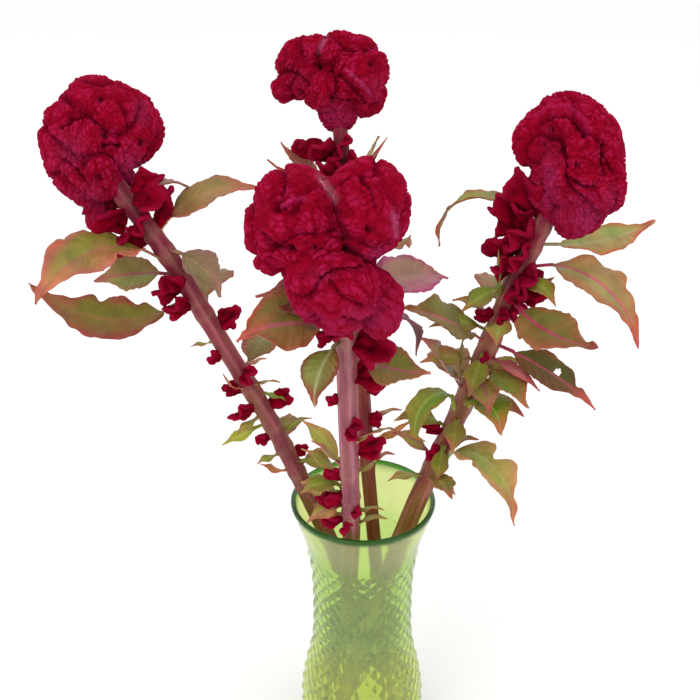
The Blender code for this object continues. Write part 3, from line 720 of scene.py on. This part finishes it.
def leafBlade(name, which, leaf, colours, shape, seed, wider=1, twist=0, damage=None):
    # a thin arched blade with a ragged margin, cupped along its midrib
    height, heading, rise, droop, length, width, sway, roll = (*leaf, 0, 0)[:8]
    width *= wider
    roll += twist
    steps, damage = shape["steps"], damage or {}
    at = stemPoint(which, height) + direction(heading, 0) * (stemRadius(which, height) + shape["clearance"])
    points = [at]
    for i in range(steps):
        at = at + direction(heading + sway * i / steps, rise - droop * i / steps) * (length / steps)
        points.append(at)
    midrib = list(enumerate(points))
    root = leafShape["root"] / length
    bites = damage.get("bites", [])

    def place(u, v):
        t = v * (1 + root) - root
        s = 2 * u - 1
        held = max(t, 0)
        # before its base the midrib runs on straight into the stem
        centre = interpolate(midrib, held * steps) + direction(heading, rise) * (min(t, 0) * length)
        way = direction(heading + sway * held, rise - droop * held)
        side = Vector((0, 0, 1)).cross(direction(heading + sway * held, 0)).normalized()
        side = Matrix.Rotation(math.radians(roll * min(1, 3 * held)), 3, way) @ side
        up = way.cross(side)
        half = bladeHalfWidth(held, width)
        half *= 1.06 - 0.5 * smoothStep(0.56, 0.88, held)
        edge = abs(s)**3
        if t > leafShape["petioleShare"]:
            margin = noise.noise(Vector((t * length * 0.13, seed * 3.1 + math.copysign(5, s), 0)))
            teeth = noise.noise(Vector((t * length * 0.55, seed * 1.7 + math.copysign(9, s), 4)))
            half *= 1 + edge * (leafShape["ragged"] * margin + leafShape["teeth"] * teeth)
            for biteSide, bitePlace, share, spread in bites:
                if s * biteSide > 0:
                    half *= 1 - share * abs(s) * math.exp(-((t - bitePlace) / spread)**2)
        lift = leafShape["cup"] * abs(s) * half
        if t > leafShape["petioleShare"]:
            lift += leafShape["wave"] * s * math.sin(2.4 * math.pi * t + s) * half / width
            ruffle = noise.noise(Vector((t * length * 0.09, seed * 2.3 + math.copysign(3, s), 8)))
            lift += leafShape["ruffle"] * width * edge * ruffle
            # the blade is quilted between its veins
            quilt = math.sin((leafShape["veins"] * t - leafShape["veinSlant"] * abs(s) / 2) * 2 * math.pi)
            lift += leafShape["quilt"] * quilt * min(1, half / 6) * abs(s)
        else:
            lift += 0.8 * s * s
        return centre + side * (s * half) + up * lift

    obj, shares = shapedGrid(name, shape["across"], shape["along"], place)
    blade, margin, rib, tip = [linear(code) for code in colours.split()]
    tints = []
    for u, v in shares:
        s = abs(2 * u - 1)
        t = max(v * (1 + root) - root, 0)
        half = bladeHalfWidth(t, width)
        patch = noise.noise(Vector((u * width * 0.12, v * length * 0.06, seed)))
        colour = mixed(blade, mixed(margin, blade, 0.35), smoothStep(-0.1, 0.5, patch) * 0.45)
        # one half of the blade has turned further than the other
        turned = (2 * u - 1) * (1 if seed % 2 else -1)
        colour = mixed(colour, margin, 0.38 * smoothStep(-0.05, 0.4, turned + 0.2 * patch))
        colour = mixed(colour, margin, smoothStep(0.62, 1.0, s + 0.25 * patch) * 0.85)
        colour = mixed(colour, tip, smoothStep(0.62, 0.97, t + 0.12 * patch))
        ribShare = 1 - smoothStep(0.35, 1.25, s * half)
        colour = mixed(colour, rib, ribShare * (0.95 if t < 0.8 else 0.5))
        if t < leafShape["petioleShare"]:
            colour = mixed(rib, colour, 0.15)
        tints.append(colour)
    paint(obj, tints)
    for hole in damage.get("holes", []):
        cutHole(obj, *hole)
    thicken(obj, leafShape["thickness"])
    applyAll(obj)
    obj.data.shade_smooth()
    return obj


def cutHole(obj, across, along, halfWide, halfLong):
    bm = bmesh.new()
    bm.from_mesh(obj.data)
    uv = bm.loops.layers.uv.active
    eaten = []
    for face in bm.faces:
        u = sum(loop[uv].uv.x for loop in face.loops) / len(face.loops)
        v = sum(loop[uv].uv.y for loop in face.loops) / len(face.loops)
        ragged = 1 + 0.8 * noise.noise(Vector((u * 40, v * 90, 0)))
        if ((2 * u - 1 - across) / halfWide)**2 + ((v - along) / halfLong)**2 < ragged:
            eaten.append(face)
    bmesh.ops.delete(bm, geom=eaten, context="FACES")
    bm.to_mesh(obj.data)
    bm.free()


def buildLeaves(which, finish):
    seed = 10 * len(which)
    for i, leaf in enumerate(leaves[which], 1):
        obj = leafBlade(f"leaf{which.title()}{i}", which, leaf, leafColours[which][i - 1], leafShape,
                        seed + i, fuller[which].get(i, leafShape["fuller"]), twists[which].get(i, 0),
                        leafDamage[which].get(i))
        finishPiece(obj, "leaf", finish, f"leaf_{which}_{i}")
    grown = [leafBlade(f"small{i}", which, leaf, smallColours[which][i], smallShape, seed + 50 + i,
                       smallShape["fuller"]) for i, leaf in enumerate(smallLeaves[which])]
    grown += [leafBlade(f"fine{i}", which, leaf, fineColours[(i * 3 + len(which)) % len(fineColours)],
                        smallShape, seed + 90 + i) for i, leaf in enumerate(fineLeaves[which])]
    finishPiece(joinPieces("smallLeaves" + which.title(), grown), "leaf", finish)


# Side crests on a stem: height, heading, rise, length, width
sideCrests = {
    "left": [(424, -20, 30, 22, 24), (400, 200, -8, 15, 15), (404, 5, 70, 24, 9), (368, 225, 20, 17, 22),
             (340, 0, 45, 17, 12), (309, -60, 10, 12, 12), (296, 195, 10, 14, 10), (284, 215, -10, 15, 12),
             (282, 10, 30, 16, 10), (418, 205, -25, 20, 20), (409, 220, -35, 19, 18), (412, -80, 10, 14, 16),
             (356, 212, 0, 16, 16), (322, 205, -10, 9, 9), (262, 200, -20, 10, 9), (246, 10, 20, 9, 8)],
    "front": [(372, -30, 10, 24, 22), (346, -10, 25, 20, 18), (312, -70, 10, 11, 12), (286, 0, 25, 17, 12),
              (240, 200, 20, 17, 12), (222, 195, 0, 15, 9), (392, -80, -30, 13, 20), (382, 215, -10, 12, 14),
              (330, 200, 10, 8, 9), (262, 190, 30, 12, 8), (250, 205, -20, 13, 8), (232, -70, 20, 8, 8),
              (214, -110, 30, 9, 9)],
    "back": [(414, 175, 20, 26, 14), (408, -70, 35, 18, 20), (404, 215, 40, 18, 14), (284, 0, 45, 17, 12),
             (424, -90, 0, 15, 20), (420, 215, 10, 20, 18), (396, -100, 10, 13, 14), (272, -20, 20, 12, 10),
             (252, -30, 10, 10, 9)],
    "right": [(398, 178, 40, 27, 24), (388, 182, 10, 21, 20), (381, 200, -15, 16, 16), (374, -80, 5, 18, 20),
              (360, -5, 10, 18, 16), (338, -75, 60, 16, 13), (262, 170, 30, 14, 12), (409, 195, 50, 27, 26),
              (396, 228, 20, 22, 22), (386, -120, 10, 16, 18), (368, -100, 0, 14, 16),
              (352, -60, 20, 13, 14), (366, 20, 0, 16, 14), (346, 195, 10, 12, 12), (318, -100, 20, 9, 9),
              (252, -130, 10, 10, 10)],
}
crestFan = dict(spokes=18, rings=8, thickness=2.5, spread=84.0, sunk=2.6, grow=1.2, lean=60, knobs=0.10,
                knobPitch=15, ragged=0.22, wave=0.17, ruffle=0.10, lumps=0.9,
                dark="#60000f", bright="#94001f", edge="#a0143c")


def sideCrest(name, which, crest, seed):
    # a fleshy fan that widens from the stem, with a lobed and ruffled free edge
    height, heading, rise, length, width = crest
    length, width = length * crestFan["grow"], width * crestFan["grow"]
    base = stemPoint(which, height) + direction(heading, 0) * (stemRadius(which, height) - crestFan["sunk"])
    along = direction(heading, rise)
    side = Vector((0, 0, 1)).cross(direction(heading, 0)).normalized()
    side = Matrix.Rotation(math.radians(crestFan["lean"]), 3, along) @ side
    up = along.cross(side)
    spread = math.radians(crestFan["spread"])

    def place(u, v):
        share = 2 * u - 1
        knob = share * width / crestFan["knobPitch"] + seed * 0.37
        reach = 0.95 + crestFan["knobs"] * math.cos(2 * math.pi * knob)
        reach += crestFan["ragged"] * noise.noise(Vector((share * 1.7, seed * 1.9, 2)))
        turn = spread * share
        out = (2.5 + (length - 2.5) * reach * (0.25 + 0.75 * math.cos(turn))) * v
        wave = crestFan["wave"] * length * v * math.sin(2.3 * math.pi * share + seed)
        wave += crestFan["ruffle"] * length * v * v * noise.noise(Vector((share * 3, v * 2, seed)))
        wide = 1.4 * share * (1 - v) + width / 2 * reach * math.sin(turn) / math.sin(spread) * v
        return base + along * out + side * wide + up * wave

    obj, shares = shapedGrid(name, crestFan["spokes"], crestFan["rings"], place)
    dark, bright, edge = [linear(crestFan[key]) for key in ("dark", "bright", "edge")]
    tints = []
    for u, v in shares:
        patch = noise.noise(Vector((u * width * 0.2, v * length * 0.2, seed)))
        colour = mixed(dark, bright, smoothStep(-0.35, 0.35, patch + 0.6 * (v - 0.4)))
        tints.append(mixed(colour, edge, 0.5 * smoothStep(0.8, 1.0, v)))
    paint(obj, tints)
    thicken(obj, crestFan["thickness"])
    soft = obj.modifiers.new("rounding", "SUBSURF")
    soft.levels = soft.render_levels = 1
    applyAll(obj)
    at = meshPoints(obj) / mm
    lump = np.array([noise.noise(Vector(p * 0.45)) + 0.5 * noise.noise(Vector(p)) for p in at])
    setPoints(obj, (at + meshNormals(obj) * (lump * crestFan["lumps"])[:, None]) * mm)
    obj.data.shade_smooth()
    return obj


def buildSideCrests(which, finish):
    grown = [sideCrest(f"fan{which}{i}", which, crest, i + 3.7 * len(which))
             for i, crest in enumerate(sideCrests[which])]
    finishPiece(joinPieces("sideCrests" + which.title(), grown), "crest", finish)


# Heads: centre, tilt, and the lobes the folded crest is gathered into, each with its offset right, up and
# to the front, and its half width, half height and half depth. Creases, pits and pale patches are where
# the photograph shows them: creases run through places with a width, a depth and a colour, pits have a
# radius and a depth, and patches have two radii and a share of the colour.
# The darkest crease colours and the near-black of the pits are painted shade in those hollows.
crests = {
    "left": dict(
        centre=(-148, 4, 448), tilt=17, lobes=[
            (-4, 24, 0, 19, 16, 19), (16, 13, 2, 17, 18, 18), (-18, 10, 3, 16, 18, 18),
            (-15, -7, 3, 16, 17, 17), (-2, -18, 0, 16, 17, 15), (-4, -35, 0, 9, 11, 9),
            (1, 3, 7, 22, 23, 20)],
        creases=[([(100, 147), (108, 144), (120, 145)], 2.2, 3.0, "#4a000c"),
                 ([(60, 128), (72, 120), (84, 116)], 2.0, 2.4, "#5a0010"),
                 ([(118, 100), (126, 112), (128, 126)], 2.0, 2.2, "#6a0018"),
                 ([(84, 80), (98, 84), (112, 82)], 2.0, 1.6, "#6a0018"),
                 ([(62, 160), (74, 168), (84, 182)], 2.0, 2.0, "#5a0010")],
        pits=[(70, 118, 3.5, 2.5), (100, 98, 4, 3), (103, 135, 4, 3), (98, 178, 4, 3), (83, 165, 4, 3),
              (143, 142, 4, 3)],
        patches=[(142, 112, 9, 14, 0.35), (70, 152, 15, 17, 0.4), (130, 165, 12, 16, 0.45),
                 (90, 195, 16, 12, 0.3)]),
    "front": dict(
        centre=(-19, -97, 432), tilt=22, lobes=[
            (-17, 15, 4, 21, 23, 21), (-28, 2, 0, 11, 16, 14), (19, 18, 4, 20, 24, 22),
            (5, -22, 4, 20, 21, 20), (25, -29, 0, 11, 17, 12), (-6, -15, 2, 14, 18, 15),
            (0, 2, -8, 25, 26, 18)],
        creases=[([(320, 176), (328, 187), (335, 197)], 3.0, 3.5, "#d98aa0"),
                 ([(335, 197), (338, 213), (345, 230), (350, 250)], 3.2, 4.5, "#4a000c"),
                 ([(283, 207), (294, 200), (305, 199)], 2.0, -1.2, "#b42058"),
                 ([(393, 213), (396, 224), (397, 236)], 2.4, 0.5, "#b84a72"),
                 ([(262, 232), (276, 246), (292, 250)], 2.2, 2.4, "#56000e"),
                 ([(352, 250), (366, 262), (384, 264)], 2.4, 2.6, "#5a0010"),
                 ([(330, 282), (344, 300), (362, 306)], 2.0, 2.0, "#6a0018"),
                 ([(342, 318), (362, 324), (388, 308)], 2.0, 1.8, "#6a0018"),
                 ([(360, 176), (372, 190), (376, 206)], 2.0, 2.2, "#5a0010")],
        pits=[(276, 208, 4, 3), (288, 248, 4, 3), (313, 248, 4, 3), (370, 228, 4, 3), (350, 249, 5, 4)],
        patches=[(378, 254, 13, 7, 0.5), (396, 224, 5, 14, 0.4), (320, 276, 14, 8, 0.25),
                 (370, 320, 20, 12, 0.35)]),
    "back": dict(
        centre=(-20, 101, 464), tilt=14, lobes=[
            (-20, 6, 2, 15, 17, 16), (-29, -6, 2, 7, 8, 9), (0, 15, 0, 20, 14, 18), (19, 4, 2, 16, 19, 17),
            (21, -12, 0, 10, 11, 11), (-2, -3, 3, 19, 17, 16), (4, -20, 0, 11, 13, 7)],
        creases=[([(326, 36), (322, 43), (318, 50)], 2.2, 2.5, "#c05a80"),
                 ([(318, 50), (316, 58), (320, 68)], 2.4, 3.5, "#4a000c"),
                 ([(340, 75), (352, 86), (365, 100)], 2.2, 2.6, "#56000e"),
                 ([(346, 70), (358, 80), (370, 94)], 1.8, -0.8, "#b03060"),
                 ([(284, 70), (298, 74), (308, 84)], 2.0, 2.0, "#5a0010")],
        pits=[(300, 92, 3.5, 2.5), (332, 100, 4, 3), (372, 64, 3.5, 2.5)],
        patches=[(338, 118, 16, 14, 0.45), (300, 80, 12, 10, 0.2), (374, 88, 9, 12, 0.25)]),
    "right": dict(
        centre=(119, 3, 440), tilt=18, lobes=[
            (-6, 24, 0, 18, 15, 17), (-23, 13, 0, 11, 14, 12), (9, 10, 2, 16, 20, 18),
            (15, -14, 2, 13, 20, 16), (2, -29, 0, 13, 14, 12), (-1, 0, 4, 18, 24, 16),
            (-15, -13, -2, 9, 18, 7)],
        creases=[([(535, 117), (548, 108), (565, 107), (580, 115), (590, 131)], 2.0, -1.4, "#b01c50"),
                 ([(540, 123), (552, 116), (566, 115), (577, 123), (584, 135)], 2.2, 3.0, "#5a0010"),
                 ([(604, 140), (602, 156), (604, 174)], 2.2, 2.8, "#4a000c"),
                 ([(566, 176), (580, 186), (596, 188)], 2.0, 2.2, "#5a0010")],
        pits=[(552, 127, 4, 3), (563, 150, 4, 3), (577, 165, 4, 3)],
        patches=[(549, 185, 10, 30, 0.5), (585, 218, 17, 22, 0.45), (612, 200, 8, 16, 0.25)]),
}
# Folds, ruffles and frills are ever finer: each has the distance between neighbours, its depth, how many
# waves make it, and for the first two how far their lines wander (over what length, and by how much)
crestShape = dict(detail=7, blend=5.0, inset=0.9, pitch=19.0, depth=4.95, waves=14, wander=(22, 5),
                  ruffle=6.0, ruffleDepth=0.85, ruffleWaves=16, ruffleWander=(9, 3),
                  frill=2.3, frillDepth=1.0, frillWaves=18)
# The darkest colour is painted shade in the folds, the edge colour a painted sheen highlight along the
# ruffles, and the pit colour painted shade in the pits.
crestTints = dict(paintedFoldShade="#640014", slope="#84001c", top="#980423", edge="#a81444", lower="#90204a",
                  pale="#a02a5c", paintedPitShade="#30000a")


def foldField(points, seed, pitch, count):
    # waves of one length in random directions: their sum is near zero along winding lines
    draw = random.Random(seed)
    ways, phases = [], []
    for _ in range(count):
        turn, rise = draw.uniform(0, 2 * math.pi), math.asin(draw.uniform(-1, 1))
        ways.append(direction(math.degrees(turn), math.degrees(rise)) * (math.pi / pitch))
        phases.append(draw.uniform(0, 2 * math.pi))
    return math.sqrt(2 / count) * np.sin(points @ np.array(ways).T + np.array(phases)).sum(axis=1)


def lobeReach(lobe, rays):
    right, up, front, halfWidth, halfHeight, halfDepth = lobe
    size = np.array((halfWidth, halfDepth, halfHeight))
    at = np.array((right, -front, up)) / size
    way = rays / size
    mid = way @ at
    square = (way * way).sum(axis=1)
    under = mid**2 - square * (at @ at - 1)
    return np.where(under > 0, (mid + np.sqrt(np.maximum(under, 0))) / square, 0)


def softStep(low, high, x):
    t = np.clip((x - low) / (high - low), 0, 1)
    return t * t * (3 - 2 * t)


def distanceToLine(spots, line):
    best = np.full(len(spots), 1e9)
    for start, end in zip(line, line[1:]):
        a, b = np.array(start, float), np.array(end, float)
        t = np.clip(((spots - a) @ (b - a)) / ((b - a) @ (b - a)), 0, 1)
        best = np.minimum(best, np.linalg.norm(spots - (a + t[:, None] * (b - a)), axis=1))
    return best


def meshPoints(obj):
    points = np.empty(len(obj.data.vertices) * 3)
    obj.data.vertices.foreach_get("co", points)
    return points.reshape(-1, 3)


def meshNormals(obj):
    obj.data.update()
    normals = np.empty(len(obj.data.vertices) * 3)
    obj.data.vertex_normals.foreach_get("vector", normals)
    return normals.reshape(-1, 3)


def setPoints(obj, points):
    obj.data.vertices.foreach_set("co", points.ravel())
    obj.data.update()


def wandering(points, length, amount):
    return np.array([noise.noise_vector(Vector(p / length)) for p in points]) * amount


def painted(colours, code, share):
    return colours + (np.array(linear(code)) - colours) * np.clip(share, 0, 1)[:, None]


def buildCrest(which, finish):
    # a ball pushed out to the head's lobes, folded like a brain and ruffled along its folds
    crest = crests[which]
    seed = sum(map(ord, which))
    deselectAll()
    bpy.ops.mesh.primitive_ico_sphere_add(subdivisions=crestShape["detail"], radius=1)
    obj = bpy.context.object
    obj.name = "crest" + which.title()
    rays = meshPoints(obj)
    rays /= np.linalg.norm(rays, axis=1)[:, None]
    turn = np.array(Matrix.Rotation(math.radians(-crest["tilt"]), 3, "X"))
    centre = np.array(crest["centre"], float)
    blend = crestShape["blend"]
    reach = blend * np.log(sum(np.exp(lobeReach(lobe, rays) / blend) for lobe in crest["lobes"]))
    out = rays @ turn.T
    at = centre + out * (reach - crestShape["inset"])[:, None]
    warped = at + wandering(at, *crestShape["wander"])
    folds = foldField(warped, seed, crestShape["pitch"], crestShape["waves"])
    fold = np.minimum(1, np.abs(folds) * 1.6)**0.75
    at = at + out * ((fold - 0.62) * crestShape["depth"])[:, None]

    # what the photograph shows on the side towards it
    spots = photoPlace(at)
    towards = np.array(viewpoint["place"]) / mm - centre
    towards /= np.linalg.norm(towards)
    facing = softStep(-0.05, 0.25, out @ towards)
    carve = np.zeros(len(at))
    shadeAndColourMarks = []
    for line, width, depth, code in crest["creases"]:
        near = np.exp(-(distanceToLine(spots, line) / width)**2) * facing
        carve += near * depth
        shadeAndColourMarks.append((near, code))
    # pits are carved and painted near-black: painted shade
    for x, y, radius, depth in crest["pits"]:
        near = np.exp(-(((spots - (x, y))**2).sum(axis=1) / radius**2)) * facing
        carve += near * depth
        shadeAndColourMarks.append((near, crestTints["paintedPitShade"]))
    setPoints(obj, (at - out * carve[:, None]) * mm)

    # ruffles and the finer frill, along the surface's own normals
    at = meshPoints(obj) / mm
    normals = meshNormals(obj)
    warped = at + wandering(at, *crestShape["ruffleWander"])
    ruffle = foldField(warped, seed + 1, crestShape["ruffle"], crestShape["ruffleWaves"])
    ruffle = np.clip((np.sqrt(ruffle**2 + 0.12) - 0.29) * 1.5, 0, 1)
    at = at + normals * ((ruffle - 0.75) * crestShape["ruffleDepth"] * (0.35 + 0.65 * fold))[:, None]
    setPoints(obj, at * mm)
    normals = meshNormals(obj)
    frill = foldField(at, seed + 2, crestShape["frill"], crestShape["frillWaves"])
    frill = np.minimum(1, (np.sqrt(frill**2 + 0.04) - 0.12) * 1.3)
    at = at + normals * ((frill - 0.5) * crestShape["frillDepth"])[:, None]
    setPoints(obj, at * mm)

    # painted shade darkest in the folds, crimson on top, a painted sheen highlight of pink along the
    # ruffles' edges, lilac lower down
    # painted shade: the crest starts darkest, which stays in the folds
    tints = np.tile(np.array(linear(crestTints["paintedFoldShade"])), (len(at), 1))
    share = softStep(0.0, 0.4, fold) * (0.9 + 0.1 * softStep(0.0, 0.4, ruffle))
    tints = painted(tints, crestTints["slope"], share)
    tints = painted(tints, crestTints["top"], softStep(0.35, 0.9, fold) * softStep(-0.2, 0.6, ruffle))
    # pink painted along the ruffles' edges: a painted sheen highlight
    share = 0.75 * softStep(0.85, 1.0, ruffle) * softStep(0.5, 1.0, frill)
    tints = painted(tints, crestTints["edge"], share)
    lower = softStep(0, 46, centre[2] - at[:, 2]) * softStep(0.2, 0.9, ruffle)
    tints = painted(tints, crestTints["lower"], 0.45 * lower)
    for x, y, wide, high, share in crest["patches"]:
        near = np.exp(-(((spots[:, 0] - x) / wide)**2 + ((spots[:, 1] - y) / high)**2)) * facing
        tints = painted(tints, crestTints["pale"], share * near * (0.35 + 0.65 * frill) * 1.5)
    # the crease and pit colours painted on, the dark ones painted shade
    for near, code in shadeAndColourMarks:
        tints = painted(tints, code, 0.85 * near)
    paint(obj, tints)
    obj.data.shade_smooth()
    return finishPiece(obj, "crest", finish, "crest_" + which)


# Floor, light and camera. Each lamp has its place, its size in metres and its power, and faces the bouquet.
studio = dict(floor=40, world=1.0, aim=(0, 0, 0.35), lamps=dict(
    keyLight=((-0.9, -1.1, 1.7), 1.2, 7.0), fillLight=((1.3, -0.7, 1.2), 1.4, 2.5),
    backLight=((0.2, 1.4, 1.5), 1.4, 3.0)))


def buildStudio():
    deselectAll()
    bpy.ops.mesh.primitive_plane_add(size=studio["floor"], location=(0, 0, 0))
    floor = bpy.context.object
    floor.name = "floor"
    floor.data.materials.append(floorFinish())
    world = bpy.data.worlds.new("softWhite")
    bpy.context.scene.world = world
    world.use_nodes = True
    background = world.node_tree.nodes["Background"].inputs
    background["Color"].default_value = (1, 1, 1, 1)
    background["Strength"].default_value = studio["world"]
    for name, (place, size, power) in studio["lamps"].items():
        lamp = bpy.data.lights.new(name, "AREA")
        lamp.size = size
        lamp.energy = power
        obj = bpy.data.objects.new(name, lamp)
        bpy.context.scene.collection.objects.link(obj)
        obj.location = place
        obj.rotation_euler = (Vector(studio["aim"]) - Vector(place)).to_track_quat("-Z", "Y").to_euler()
    lens = bpy.data.cameras.new("photoView")
    lens.sensor_width = viewpoint["sensor"]
    lens.lens = viewpoint["lens"]
    camera = bpy.data.objects.new("photoView", lens)
    bpy.context.scene.collection.objects.link(camera)
    camera.location = viewpoint["place"]
    camera.rotation_euler = (math.radians(viewpoint["tilt"]), 0, 0)
    bpy.context.scene.camera = camera
    bpy.context.scene.view_settings.view_transform = "Standard"


print("studio, floor and camera")
buildStudio()
velvet = velvetFinish()
leafSkin = leafFinish()
stemSkin = stemFinish()
print("vase and water")
buildVase(glassFinish())
buildWater(waterFinish())
for which in stems:
    print("flower", which)
    buildStem(which, stemSkin)
    buildLeaves(which, leafSkin)
    buildSideCrests(which, velvet)
    buildCrest(which, velvet)
